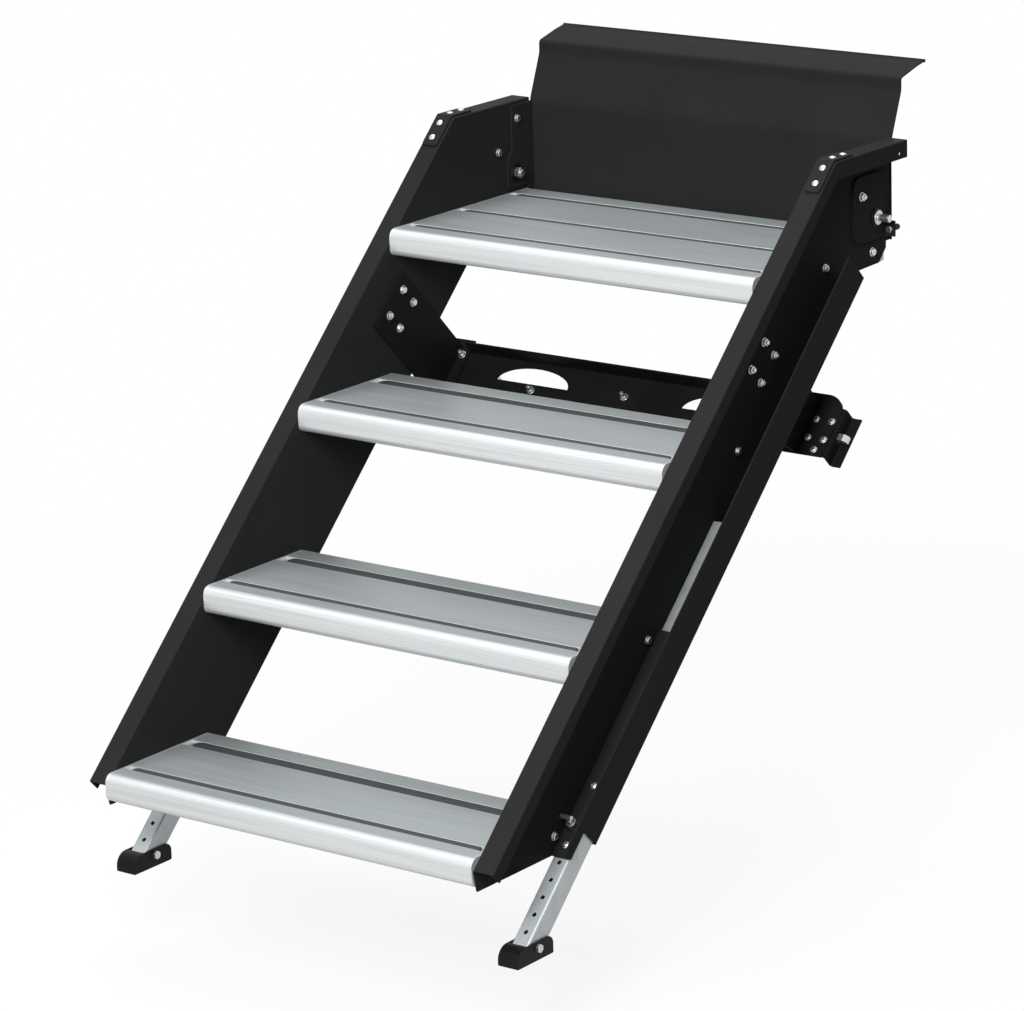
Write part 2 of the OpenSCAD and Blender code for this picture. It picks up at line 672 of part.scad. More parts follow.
module leg() {
    z = yz(foot_u, foot_w_mid)[1];
    x0 = leg_x - leg_w / 2;
    x1 = leg_x + leg_w / 2;
    end = u_at(z - 6.8, leg_front);
    zinc() difference() {
        on_slope() along(leg_top, end + 5) difference() {
            polygon(rounded(square_of(x0, x1, leg_front, leg_rear), even(3)));
            polygon(rounded(square_of(x0 + leg_wall, x1 - leg_wall, leg_front + leg_wall, leg_rear - leg_wall), even(1)));
        }
        from_nose() translate([x0 - 5, yz(foot_u, foot_w_mid)[0] - 100, z - 106.8]) cube([leg_w + 10, 200, 100]);
        on_slope() for (k = [-holes_up:holes_down])
            post(leg_x, lock_u + k * hole_pitch, leg_front - 1, leg_front + leg_wall + 1, hole_r);
        from_nose() rod(x0 - 1, x1 + 1, yz(foot_u, foot_w_mid), foot_pin_r + 0.05);
    }
}
module leg_left() { left() leg(); }
module leg_right() { leg(); }
module foot_bolt() {
    p = yz(foot_u, foot_w_mid);
    a = leg_x - foot_w / 2 - side_gap;
    b = leg_x + foot_w / 2 + side_gap;
    zinc() from_nose() {
        rod(a - 5, b + 1, p, foot_pin_r);
        hex(b, b + 5, p, 6);
        hex(a - 5, a, p, 6);
    }
}
module foot_bolt_left() { left() foot_bolt(); }
module foot_bolt_right() { foot_bolt(); }
module foot() {
    p = yz(foot_u, foot_w_mid);
    y0 = p[0] - 42.7;
    z0 = p[1] - sole_drop;
    x0 = leg_x - foot_w / 2;
    in = leg_w / 2 + 0.6;
    top = z0 + foot_h + 1;
    wall_w = leg_front - foot_gap;
    rubber() from_nose() difference() {
        across(x0, foot_w)
            polygon(rounded(square_of(y0, y0 + foot_len, z0, z0 + foot_h), [2, 2, 12, foot_nose_r]));
        across(leg_x - in, 2 * in) polygon([[y0 + 4, z0 + sole_t], [y0 + foot_len + 1, z0 + sole_t],
            [y0 + foot_len + 1, top], [y_at(top, wall_w), top], [y0 + 4, ((y0 + 4) * sn - wall_w) / cs]]);
        rod(x0 - 1, x0 + foot_w + 1, p, foot_pin_r + foot_fit);
    }
}
module foot_left() { left() foot(); }
module foot_right() { foot(); }

// Every sub-part by name

pivot_studs();
pivot_nuts();
pivot_bushes();
pivot_plate_left();
pivot_plate_right();
pivot_plate_bolts();
stringer_left();
stringer_right();
corner_plate_left();
corner_plate_right();
corner_rivets();
tread_top();
tread_second();
tread_third();
tread_bottom();
tread_end_caps();
tread_bolts();
grip_strips();
kick_plate();
kick_plate_bolts();
beam_bracket_left();
beam_bracket_right();
bracket_bolts();
grab_beam();
beam_bolts();
latch_guides();
latch_bolt_left();
latch_bolt_right();
leg_guide_left();
leg_guide_right();
guide_screws();
lock_barrels();
lock_pin_left();
lock_pin_right();
stop_bumpers();
bumper_nuts();
leg_left();
leg_right();
foot_bolt_left();
foot_bolt_right();
foot_left();
foot_right();
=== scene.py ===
"""Dresses the caravan fold-out step: finishes, rounded edges, fasteners, studio and camera."""
import json
import math

import bpy
from mathutils import Matrix, Vector


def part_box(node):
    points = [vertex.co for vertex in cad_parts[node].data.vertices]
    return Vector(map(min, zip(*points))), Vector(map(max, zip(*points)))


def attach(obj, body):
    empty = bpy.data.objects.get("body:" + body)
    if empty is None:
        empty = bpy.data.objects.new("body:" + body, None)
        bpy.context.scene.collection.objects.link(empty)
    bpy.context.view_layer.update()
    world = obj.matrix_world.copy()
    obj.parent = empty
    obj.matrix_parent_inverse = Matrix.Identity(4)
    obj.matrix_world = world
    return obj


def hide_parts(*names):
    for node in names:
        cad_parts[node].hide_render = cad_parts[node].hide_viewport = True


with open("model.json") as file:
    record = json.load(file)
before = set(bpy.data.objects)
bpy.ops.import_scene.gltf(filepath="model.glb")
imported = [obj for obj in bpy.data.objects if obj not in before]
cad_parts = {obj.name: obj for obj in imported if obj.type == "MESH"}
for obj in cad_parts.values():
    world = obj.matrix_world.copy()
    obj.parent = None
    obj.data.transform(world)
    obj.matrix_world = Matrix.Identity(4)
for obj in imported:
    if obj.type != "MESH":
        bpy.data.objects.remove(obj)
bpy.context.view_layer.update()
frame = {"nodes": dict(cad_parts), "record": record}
nodes = frame["nodes"]
MM = 0.001
HANDS = ("left", "right")

# Sizes shared with the part's source, in millimetres

RISE = 203.2
RUN = 211.8
SLOPE = math.atan(RISE / RUN)
TREAD_NAMES = ("top", "second", "third", "bottom")
PIVOT_BACK = 290.0
PIVOT_UP = 28.0
SHEET_T = 2.5
PLATE_T = 3.0
DOUBLER_T = 4.0
BOLT_R = 3.0
WEB_IN = 302.0
WEB_OUT = WEB_IN + SHEET_T
DOUBLER_OUT = WEB_OUT + DOUBLER_T
KICK_IN = WEB_IN - SHEET_T
BRACKET_IN = WEB_IN - PLATE_T
BEAM_FRONT = 253.0
BEAM_REAR = BEAM_FRONT + SHEET_T
FLANGE_X = 319.3
FRONT_SET = 13.2
SIDE_UP = 130.0
LEG_X = 317.8
LEG_TRAVEL = 152.4
GUIDE_FRONT = 143.7


def place(x, y, z):
    """A point given from the top tread's nose, in millimetres, as metres in the part's frame."""
    return Vector((x, y - PIVOT_BACK, z - PIVOT_UP)) * MM


def slope_place(x, u, w):
    """A point given down the line of noses and square to it, as metres in the part's frame."""
    y = -u * math.cos(SLOPE) + w * math.sin(SLOPE)
    z = -u * math.sin(SLOPE) - w * math.cos(SLOPE)
    return place(x, y, z)


# Tools for the finishes

EVEN = (1, 1, 1)
# Sockets of a Mix node set to colours, whose names are shared with its other data types
MIX_SHARE, MIX_FIRST, MIX_SECOND, MIX_RESULT = 0, 6, 7, 2


def grey(level):
    return (level, level, level)


def new_finish(name, colour, metallic, roughness):
    material = bpy.data.materials.new(name)
    material.use_nodes = True
    shader = material.node_tree.nodes["Principled BSDF"]
    shader.inputs["Base Color"].default_value = (*colour, 1)
    shader.inputs["Metallic"].default_value = metallic
    shader.inputs["Roughness"].default_value = roughness
    return material, material.node_tree, shader


def add(tree, kind, **values):
    node = tree.nodes.new(kind)
    for name, value in values.items():
        node.inputs[name].default_value = value
    return node


def texture_space(tree, stretch):
    """Object coordinates with their own scale on each axis."""
    where = tree.nodes.new("ShaderNodeTexCoord")
    mapping = add(tree, "ShaderNodeMapping", Scale=stretch)
    tree.links.new(where.outputs["Object"], mapping.inputs["Vector"])
    return mapping.outputs["Vector"]


def noise(tree, stretch, scale, detail=4.0, rough=0.55):
    texture = add(tree, "ShaderNodeTexNoise", Scale=scale, Detail=detail, Roughness=rough)
    tree.links.new(texture_space(tree, stretch), texture.inputs["Vector"])
    return texture.outputs["Fac"]


def spread(tree, value, low, high, start=0.3, end=0.7):
    """A texture's middle range opened out between two values."""
    ramp = tree.nodes.new("ShaderNodeMapRange")
    for name, number in zip(("From Min", "From Max", "To Min", "To Max"), (start, end, low, high)):
        ramp.inputs[name].default_value = number
    tree.links.new(value, ramp.inputs["Value"])
    return ramp.outputs["Result"]


def tint(tree, value, dark, light, start=0.3, end=0.7):
    """A texture's middle range as a run of colours."""
    ramp = tree.nodes.new("ShaderNodeValToRGB")
    for stop, position, colour in zip(ramp.color_ramp.elements, (start, end), (dark, light)):
        stop.position = position
        stop.color = (*colour, 1)
    tree.links.new(value, ramp.inputs["Fac"])
    return ramp.outputs["Color"]


def bump(tree, value, shader, strength, depth):
    node = add(tree, "ShaderNodeBump", Strength=strength, Distance=depth)
    tree.links.new(value, node.inputs["Height"])
    tree.links.new(node.outputs["Normal"], shader.inputs["Normal"])


def level_shade_share(tree):
    """Nought on upright faces, rising to one on level ones, upper and lower, as the share of the tread's
    painted shade.
    """
    where = tree.nodes.new("ShaderNodeTexCoord")
    parts = tree.nodes.new("ShaderNodeSeparateXYZ")
    tree.links.new(where.outputs["Normal"], parts.inputs["Vector"])
    level = tree.nodes.new("ShaderNodeMath")
    level.operation = "ABSOLUTE"
    tree.links.new(parts.outputs["Z"], level.inputs[0])
    return spread(tree, level.outputs[0], 0.0, 1.0, start=0.75, end=0.98)


def mottled_black(name, levels, roughness, specular, cloud_scale, grain, relief):
    """A black whose tone and gloss drift a little, over a fine grain."""
    dark, middle, light = levels
    smoothest, usual, roughest = roughness
    material, tree, shader = new_finish(name, grey(middle), 0.0, usual)
    shader.inputs["Specular IOR Level"].default_value = specular
    cloud = noise(tree, EVEN, cloud_scale, detail=3.0)
    tree.links.new(tint(tree, cloud, grey(dark), grey(light)), shader.inputs["Base Color"])
    tree.links.new(spread(tree, cloud, smoothest, roughest), shader.inputs["Roughness"])
    bump(tree, noise(tree, EVEN, *grain), shader, *relief)
    return material


# Finishes, with levels and roughness as (least, usual, most)
# A grain is given as (scale, detail) and its relief as (strength, depth)

def powder_coat():
    """The satin black of the folded sheet."""
    return mottled_black("satin_black_powder_coat", levels=(0.0215, 0.023, 0.0245),
                         roughness=(0.45, 0.5, 0.56), specular=0.012, cloud_scale=9.0,
                         grain=(950.0, 2.0), relief=(0.12, 0.0003))


def shade_darkened_coat():
    """A deeper, flatter black on the beam and the small brackets, darkened as painted shade for the stair's
    shadow over them.
    """
    return mottled_black("black_coat_painted_shade", levels=(0.008, 0.009, 0.011), roughness=(0.5, 0.55, 0.6),
                         specular=0.03, cloud_scale=14.0, grain=(800.0, 2.0), relief=(0.1, 0.0002))


def moulded_plastic():
    """The deep black of the feet and bushes."""
    return mottled_black("moulded_black_plastic", levels=(0.006, 0.007, 0.009), roughness=(0.34, 0.4, 0.46),
                         specular=0.1, cloud_scale=30.0, grain=(1400.0, 3.0), relief=(0.15, 0.0002))


def rubber():
    """The dull black of the stop bumpers."""
    return mottled_black("black_rubber", levels=(0.012, 0.014, 0.02), roughness=(0.62, 0.7, 0.8),
                         specular=0.2, cloud_scale=45.0, grain=(900.0, 4.0), relief=(0.3, 0.0003))


def drawn_aluminium():
    """Drawn lines along the tread, pale on the nose and darker on the top and the underside; that darkening
    of the level faces is painted shade, for the shade among the top's fine ribs and under the tread, with a
    little dust.
    """
    material, tree, shader = new_finish("drawn_aluminium", (0.66, 0.69, 0.7), metallic=0.4, roughness=0.42)
    lines = noise(tree, (3, 900, 900), 1.0, detail=5.0, rough=0.65)
    patches = noise(tree, (1.5, 9, 9), 2.2)
    smooth = tint(tree, lines, (0.54, 0.57, 0.58), (0.78, 0.805, 0.81), start=0.25)
    # Painted shade: a darker copy of the aluminium for the level faces, top and underside.
    level_painted_shade = tint(tree, lines, (0.21, 0.235, 0.245), (0.4, 0.43, 0.435), start=0.25, end=0.75)
    blend = tree.nodes.new("ShaderNodeMix")
    blend.data_type = "RGBA"
    tree.links.new(level_shade_share(tree), blend.inputs[MIX_SHARE])
    tree.links.new(smooth, blend.inputs[MIX_FIRST])
    tree.links.new(level_painted_shade, blend.inputs[MIX_SECOND])
    tree.links.new(blend.outputs[MIX_RESULT], shader.inputs["Base Color"])
    tree.links.new(spread(tree, patches, 0.4, 0.48), shader.inputs["Roughness"])
    bump(tree, lines, shader, strength=0.25, depth=0.0002)
    return material


def zinc_plate():
    """The bright zinc of the bolts, studs and pins."""
    usual = (0.56, 0.58, 0.59)
    material, tree, shader = new_finish("bright_zinc_plate", usual, metallic=0.95, roughness=0.3)
    patches = noise(tree, EVEN, 26.0)
    fine = noise(tree, EVEN, 700.0, detail=3.0)
    tree.links.new(tint(tree, patches, (0.51, 0.53, 0.54), (0.6, 0.62, 0.63)), shader.inputs["Base Color"])
    tree.links.new(spread(tree, fine, 0.28, 0.38), shader.inputs["Roughness"])
    bump(tree, fine, shader, strength=0.04, depth=0.0001)
    return material


def galvanised_tube():
    """The duller zinc of the leg tubes, with faint lines along them."""
    material, tree, shader = new_finish("galvanised_tube", (0.5, 0.54, 0.55), metallic=0.45, roughness=0.5)
    lines = noise(tree, (220, 14, 14), 1.0)
    patches = noise(tree, EVEN, 40.0)
    tree.links.new(tint(tree, patches, (0.46, 0.5, 0.51), (0.53, 0.57, 0.58)), shader.inputs["Base Color"])
    tree.links.new(spread(tree, lines, 0.42, 0.56), shader.inputs["Roughness"])
    bump(tree, lines, shader, strength=0.08, depth=0.0001)
    return material


def grit():
    """Mineral grains set in the grip strips."""
    material, tree, shader = new_finish("grip_grit", (0.02, 0.022, 0.024), metallic=0.0, roughness=0.75)
    grains = add(tree, "ShaderNodeTexVoronoi", Scale=1300.0)
    tree.links.new(texture_space(tree, EVEN), grains.inputs["Vector"])
    reach = grains.outputs["Distance"]
    tone = tint(tree, reach, (0.036, 0.04, 0.044), (0.012, 0.014, 0.016), start=0.1, end=0.8)
    tree.links.new(tone, shader.inputs["Base Color"])
    tree.links.new(spread(tree, reach, 0.6, 0.85, start=0.0, end=1.0), shader.inputs["Roughness"])
    bump(tree, reach, shader, strength=0.5, depth=0.0004)
    return material


SLOT_OF = {row["node"]: row["material_slot"] for row in frame["record"]["subparts"]}
BODY_OF = {name: body for body, names in frame["record"]["behaviour"]["bodies"].items() for name in names}
SLOT_FINISH = {"black_steel": powder_coat(), "tread_aluminium": drawn_aluminium(), "zinc": zinc_plate(),
               "black_plastic": moulded_plastic(), "black_rubber": rubber()}
# The beam, the latch guides and the beam brackets take this darker black, which is painted shade.
SHADE_DARKENED_COAT = shade_darkened_coat()
TUBE = galvanised_tube()
OWN_FINISH = {"grip_strips": grit(), "grab_beam": SHADE_DARKENED_COAT, "latch_guides": SHADE_DARKENED_COAT}
for hand in HANDS:
    OWN_FINISH["leg_" + hand] = TUBE
    OWN_FINISH["beam_bracket_" + hand] = SHADE_DARKENED_COAT


def paint(piece, material):
    piece.data.materials.clear()
    piece.data.materials.append(material)


for name, node in nodes.items():
    paint(node, OWN_FINISH.get(name, SLOT_FINISH[SLOT_OF[name]]))

# Tools for modelling

def set_mode(mode):
    bpy.ops.object.mode_set(mode=mode)


def deselect():
    if bpy.context.object and bpy.context.object.mode != "OBJECT":
        set_mode("OBJECT")
    bpy.ops.object.select_all(action="DESELECT")


def take(piece):
    """Makes one piece the only selected and active one."""
    deselect()
    piece.select_set(True)
    bpy.context.view_layer.objects.active = piece


def edit(piece):
    take(piece)
    set_mode("EDIT")


def bevel(width, segments):
    """Rounds what is selected in edit mode, by a width in millimetres."""
    bpy.ops.mesh.bevel(offset=width * MM, segments=segments, affect="EDGES", clamp_overlap=True)


def dress(piece, node):
    """Puts a piece in the place of a CAD node, on its body."""
    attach(piece, BODY_OF[node])
    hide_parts(node)


# Corners with a radius of their own, on the plates, the brackets and the feet

SAME = 1e-5
PLATE_SLACK = 0.3
PLATE_CORNER = 4.5
TOE_ROUND = 2.6
SOLE_EDGE = 2.1
SHEET_SLACK = 0.1
BRACKET_CORNER = 9.0
BRACKET_OUTER = 322.0
BRACKET_UPPER = -235.0


def round_edges(piece, radius, steps, wanted):
    """Rounds, in edit mode, the edges whose two end points satisfy a test, by radius millimetres."""
    bpy.ops.mesh.select_mode(type="EDGE")
    bpy.ops.mesh.select_all(action="DESELECT")
    set_mode("OBJECT")
    points = piece.data.vertices
    for line in piece.data.edges:
        line.select = wanted(points[line.vertices[0]].co, points[line.vertices[1]].co)
    set_mode("EDIT")
    bevel(radius, steps)


def upright(a, b):
    """True of an edge that lies square to the X axis."""
    return abs(a.x - b.x) < SAME


def through(a, b, thickness, slack):
    """True of an edge as long as a sheet is thick."""
    return abs((a - b).length - thickness * MM) < slack * MM


def side_test(piece):
    """A test for the edges that lie in either side face of a piece."""
    across = [point.co.x for point in piece.data.vertices]
    faces = (min(across), max(across))
    return lambda a, b: upright(a, b) and min(abs(a.x - face) for face in faces) < SAME


def round_plate_ends(piece):
    """Gives the corner plate the rounded corners of its two ends."""
    in_side = side_test(piece)
    round_edges(piece, PLATE_CORNER, 4, lambda a, b: in_side(a, b) and through(a, b, PLATE_T, PLATE_SLACK))


def round_toe(piece):
    """Rounds the foot's upper edges and leaves its sole flat."""
    in_side = side_test(piece)
    sole = min(point.co.z for point in piece.data.vertices)
    round_edges(piece, TOE_ROUND, 4, lambda a, b: in_side(a, b) and min(a.z, b.z) > sole + SOLE_EDGE * MM)


def round_bracket(piece):
    """Rounds the outer upper corners of the beam bracket's face."""
    round_edges(piece, BRACKET_CORNER, 5, lambda a, b: upright(a, b) and through(a, b, SHEET_T, SHEET_SLACK)
                and abs(a.x) > BRACKET_OUTER * MM and a.z > BRACKET_UPPER * MM)


SHAPED = {"beam_bracket": round_bracket, "corner_plate": round_plate_ends, "foot": round_toe}
SHAPE_FIRST = {f"{name}_{hand}": shape for name, shape in SHAPED.items() for hand in HANDS}

# Rounded edges on the folded, cast and moulded pieces, in millimetres

PAIR_EDGE = {"stringer": 0.6, "beam_bracket": 0.5, "corner_plate": 0.6, "pivot_plate": 0.6, "leg_guide": 0.4,
             "leg": 0.3, "latch_bolt": 0.6, "foot": 0.5, "lock_pin": 0.6, "foot_bolt": 0.6}
TREAD_EDGE = 0.4
SOFT_EDGE = {"kick_plate": 0.5, "grab_beam": 0.5, "latch_guides": 0.6, "tread_end_caps": TREAD_EDGE,
             "pivot_studs": 0.8, "pivot_nuts": 0.6, "pivot_bushes": 0.4, "stop_bumpers": 0.8,
             "bumper_nuts": 0.5, "lock_barrels": 0.6}
SOFT_EDGE.update({f"{name}_{hand}": width for name, width in PAIR_EDGE.items() for hand in HANDS})
SOFT_EDGE.update({"tread_" + name: TREAD_EDGE for name in TREAD_NAMES})
MERGE = 0.01
FLAT_WITHIN = math.radians(0.2)
SHARP_FROM = math.radians(32)
SMOOTH_WITHIN = math.radians(50)


def softened(name, width):
    """A copy of a CAD node with its sharp edges rounded by width millimetres, in the node's place."""
    copy = nodes[name].copy()
    copy.data = nodes[name].data.copy()
    copy.name = name + "_finished"
    bpy.context.scene.collection.objects.link(copy)
    copy.parent = None
    edit(copy)
    bpy.ops.mesh.select_all(action="SELECT")
    bpy.ops.mesh.remove_doubles(threshold=MERGE * MM)
    bpy.ops.mesh.customdata_custom_splitnormals_clear()
    bpy.ops.mesh.dissolve_limited(angle_limit=FLAT_WITHIN)
    set_mode("OBJECT")
    if name in SHAPE_FIRST:
        set_mode("EDIT")
        SHAPE_FIRST[name](copy)
        set_mode("OBJECT")
    edge = copy.modifiers.new("rounded_edges", "BEVEL")
    edge.width = width * MM
    edge.segments = 2
    edge.limit_method = "ANGLE"
    edge.angle_limit = SHARP_FROM
    edge.use_clamp_overlap = False
    edge.harden_normals = False
    bpy.ops.object.modifier_apply(modifier=edge.name)
    bpy.ops.object.shade_smooth_by_angle(angle=SMOOTH_WITHIN)
    flat = copy.modifiers.new("flat_faces", "WEIGHTED_NORMAL")
    flat.mode = "FACE_AREA"
    flat.keep_sharp = True
    bpy.ops.object.modifier_apply(modifier=flat.name)
    dress(copy, name)


for name, width in SOFT_EDGE.items():
    softened(name, width)

# Fasteners, modelled once about the origin along Z and copied to their places

HEX_CORNERS = 6
HEX_CONE = 0.16
HEX_SOFT = 0.22
THREAD_PITCH = 1.25
THREAD_ROOT = 0.86
THREAD_RUN_OUT = 0.6
THREAD_TIP = 0.8
TURN_STEP = 23
FASTENER_SMOOTH = math.radians(30)
LEVEL_SLACK = 0.01


def round_all(width):
    """Rounds every edge of the mesh in edit mode."""
    bpy.ops.mesh.select_all(action="SELECT")
    bevel(width, 2)


def select_above(piece, level):
    """Selects the faces whose middle lies above a level in millimetres."""
    bpy.ops.mesh.select_mode(type="FACE")
    bpy.ops.mesh.select_all(action="DESELECT")
    set_mode("OBJECT")
    for face in piece.data.polygons:
        face.select = face.center.z > level * MM
    set_mode("EDIT")


def cylinder(radius, low, high, corners):
    """A cylinder along Z between two levels, left in edit mode."""
    deselect()
    bpy.ops.mesh.primitive_cylinder_add(vertices=corners, radius=radius * MM, depth=(high - low) * MM,
                                        location=(0, 0, (high + low) / 2 * MM))
    piece = bpy.context.object
    bpy.ops.object.transform_apply(location=True)
    edit(piece)
    return piece


def disc(radius, low, high, corners=32, soft=0.3):
    piece = cylinder(radius, low, high, corners)
    round_all(soft)
    set_mode("OBJECT")
    return piece


def hex_body(radius, low, high):
    """A hexagon with its outer face turned down to a slight cone."""
    piece = cylinder(radius, low, high, HEX_CORNERS)
    select_above(piece, high - LEVEL_SLACK)
    bevel(HEX_CONE * radius, 1)
    round_all(HEX_SOFT)
    set_mode("OBJECT")
    return piece


def draw_out(length, scale):
    """Extrudes the selected end along Z and makes it narrower or wider."""
    bpy.ops.mesh.extrude_region_move(TRANSFORM_OT_translate={"value": (0, 0, length * MM)})
    bpy.ops.transform.resize(value=(scale, scale, 1), center_override=(0, 0, 0))


def threaded_end(radius, low, high):
    """A bolt's end with the grooves of its thread."""
    piece = cylinder(radius, low, low + THREAD_RUN_OUT, corners=24)
    select_above(piece, low + THREAD_RUN_OUT - LEVEL_SLACK)
    threaded = high - low - 2 * THREAD_RUN_OUT
    turns = max(1, int(threaded / THREAD_PITCH))
    for turn in range(turns):
        draw_out(threaded / turns / 2, THREAD_ROOT)
        draw_out(threaded / turns / 2, 1 / THREAD_ROOT)
    draw_out(THREAD_RUN_OUT, THREAD_TIP)
    set_mode("OBJECT")
    return piece


def dome(radius, height):
    """The upper part of a ball, flattened to a rivet's head."""
    deselect()
    bpy.ops.mesh.primitive_uv_sphere_add(segments=28, ring_count=14, radius=radius * MM)
    piece = bpy.context.object
    edit(piece)
    bpy.ops.mesh.select_all(action="SELECT")
    bpy.ops.mesh.bisect(plane_co=(0, 0, 0), plane_no=(0, 0, 1), use_fill=True, clear_inner=True)
    bpy.ops.mesh.select_all(action="SELECT")
    bpy.ops.transform.resize(value=(1, 1, height / radius), center_override=(0, 0, 0))
    set_mode("OBJECT")
    return piece


def discard(*pieces):
    for piece in pieces:
        bpy.data.meshes.remove(piece.data)


def cross_recess(piece, length, width, low, high):
    """Cuts a cross recess into a screw's head."""
    for turn in (0, 90):
        deselect()
        bpy.ops.mesh.primitive_cube_add(size=1, location=(0, 0, (low + high) / 2 * MM))
        cutter = bpy.context.object
        cutter.scale = (length * MM, width * MM, (high - low) * MM)
        cutter.rotation_euler.z = math.radians(turn)
        bpy.ops.object.transform_apply(location=True, rotation=True, scale=True)
        recess = piece.modifiers.new("recess", "BOOLEAN")
        recess.operation = "DIFFERENCE"
        recess.object = cutter
        take(piece)
        bpy.ops.object.modifier_apply(modifier=recess.name)
        discard(cutter)


def joined(pieces, name):
    deselect()
    for piece in pieces:
        piece.select_set(True)
    bpy.context.view_layer.objects.active = pieces[0]
    if len(pieces) > 1:
        bpy.ops.object.join()
    pieces[0].name = name
    return pieces[0]


def copies(model, spots):
    """Copies of a model, one at each (point, direction), each turned a little further than the last."""
    made = []
    for count, (point, direction) in enumerate(spots):
        copy = model.copy()
        copy.data = model.data.copy()
        bpy.context.scene.collection.objects.link(copy)
        aim = Vector(direction).to_track_quat("Z", "Y").to_matrix().to_4x4()
        spin = Matrix.Rotation(math.radians(TURN_STEP * count), 4, "Z")
        copy.matrix_world = Matrix.Translation(point) @ aim @ spin
        made.append(copy)
    deselect()
    for copy in made:
        copy.select_set(True)
    bpy.context.view_layer.objects.active = made[0]
    bpy.ops.object.transform_apply(location=True, rotation=True, scale=True)
    return made


def both_sides(spots):
    """Spots on the right side and their mirror images on the left."""
    return [(Vector((s * p.x, p.y, p.z)), (s * d[0], d[1], d[2])) for s in (1, -1) for p, d in spots]


def fit(name, node, *groups):
    """One piece from several (model, spots) groups, in place of a fastener node."""
    made = []
    for model, spots in groups:
        made += copies(model, spots)
    piece = joined(made, name)
    take(piece)
    bpy.ops.object.shade_smooth_by_angle(angle=FASTENER_SMOOTH)
    paint(piece, SLOT_FINISH[SLOT_OF[node]])
    dress(piece, node)


OUT = (1, 0, 0)
IN = (-1, 0, 0)
UP = (0, 0, 1)
DOWN = (0, 0, -1)
FORWARD = tuple((slope_place(0, 0, 0) - slope_place(0, 0, 1000)).normalized())
REARWARD = tuple(-v for v in FORWARD)

# Bolts and nuts, each washer, hexagon and thread as (radius, low, high)

WASHER = (6.2, 0, 0.9)
HEAD = (5.5, 0.8, 4.5)
NUT = (5.6, 0.8, 5.0)
NUT_THREAD = (BOLT_R, 4.4, 7.5)
STUD_THREAD = (BOLT_R, 4.0, 11.0)
LOW_WASHER = (5.4, 0, 1.2)
LOW_HEAD = (4.6, 1.0, 3.4)
bolt_head = joined([disc(*WASHER), hex_body(*HEAD)], "bolt_head")
lock_nut = joined([disc(*WASHER), hex_body(*NUT), threaded_end(*NUT_THREAD)], "lock_nut")
stud_nut = joined([disc(*WASHER), hex_body(*HEAD), threaded_end(*STUD_THREAD)], "stud_nut")
low_head = joined([disc(*LOW_WASHER), hex_body(*LOW_HEAD)], "low_head")

BOLT_DOWN = 19.5
BOLT_BACK = (40, 169)
TOP_BOLT_BACK = (*BOLT_BACK, 285)
TREAD_BOLTS = [(k, back) for k in range(len(TREAD_NAMES)) for back in (BOLT_BACK if k else TOP_BOLT_BACK)]
TREAD_SPOTS = [place(WEB_OUT, back - k * RUN, -k * RISE - BOLT_DOWN) for k, back in TREAD_BOLTS]
UPPER_BOLT = (PIVOT_BACK - 36, PIVOT_UP + 34.5)
KICK_BOLT = (PIVOT_BACK + 6, PIVOT_UP + 77)
BRACKET_WEB = [(u, w) for w in (80, 111) for u in (46, 90)]
fit("tread_bolt_heads", "tread_bolts", (bolt_head, both_sides([(spot, OUT) for spot in TREAD_SPOTS])))
fit("pivot_plate_fasteners", "pivot_plate_bolts",
    (bolt_head, both_sides([(place(WEB_IN, *UPPER_BOLT), IN)])),
    (lock_nut, both_sides([(place(DOUBLER_OUT, *UPPER_BOLT), OUT)])))
fit("kick_plate_fasteners", "kick_plate_bolts",
    (bolt_head, both_sides([(place(KICK_IN, *KICK_BOLT), IN)])),
    (lock_nut, both_sides([(place(WEB_OUT, *KICK_BOLT), OUT)])))
fit("bracket_fasteners", "bracket_bolts",
    (bolt_head, both_sides([(slope_place(BRACKET_IN, u, w), IN) for u, w in BRACKET_WEB])),
    (lock_nut, both_sides([(slope_place(WEB_OUT, u, w), OUT) for u, w in BRACKET_WEB])))

# Bolts of the beam, in the brackets at its ends, by the hand holes and in the middle

FLAP_FRONT = BEAM_FRONT - SHEET_T
END_BOLTS = ((312, 55), (336.5, 55), (312, 84), (336.5, 84), (329, 101))
BEAM_ENDS = [(x, u, FLAP_FRONT) for x, u in END_BOLTS]
BEAM_SPOTS = [(293, 40, FLAP_FRONT), (154, 78, BEAM_FRONT)]
BEAM_MIDDLE = (0, 65)
BEAM_BACKS = [(x, u, BEAM_REAR) for x, u, front in BEAM_ENDS + BEAM_SPOTS]
fit("beam_fasteners", "beam_bolts",
    (low_head, both_sides([(slope_place(*spot), FORWARD) for spot in BEAM_ENDS])),
    (stud_nut, both_sides([(slope_place(*spot), FORWARD) for spot in BEAM_SPOTS])),
    (stud_nut, [(slope_place(*BEAM_MIDDLE, BEAM_FRONT), FORWARD)]),
    (bolt_head, both_sides([(slope_place(*spot), REARWARD) for spot in BEAM_BACKS])),
    (bolt_head, [(slope_place(*BEAM_MIDDLE, BEAM_REAR), REARWARD)]))
discard(bolt_head, lock_nut, stud_nut, low_head)

# Rivets of the corner plates, at steps down the slope and back along the top from the stringer's bend

RIVET_STEPS = (13, 38)
BEND_U = (-SIDE_UP - FRONT_SET * math.cos(SLOPE)) / math.sin(SLOPE)
BEND_Y = -BEND_U * math.cos(SLOPE) + FRONT_SET * math.sin(SLOPE)
rivet = joined([dome(radius=4.8, height=2.0), disc(1.3, 1.0, 2.2, corners=16, soft=0.15)], "rivet")
tail = dome(radius=4.2, height=1.6)


def slope_rivets(w, direction):
    return both_sides([(slope_place(FLANGE_X, BEND_U + step, w), direction) for step in RIVET_STEPS])


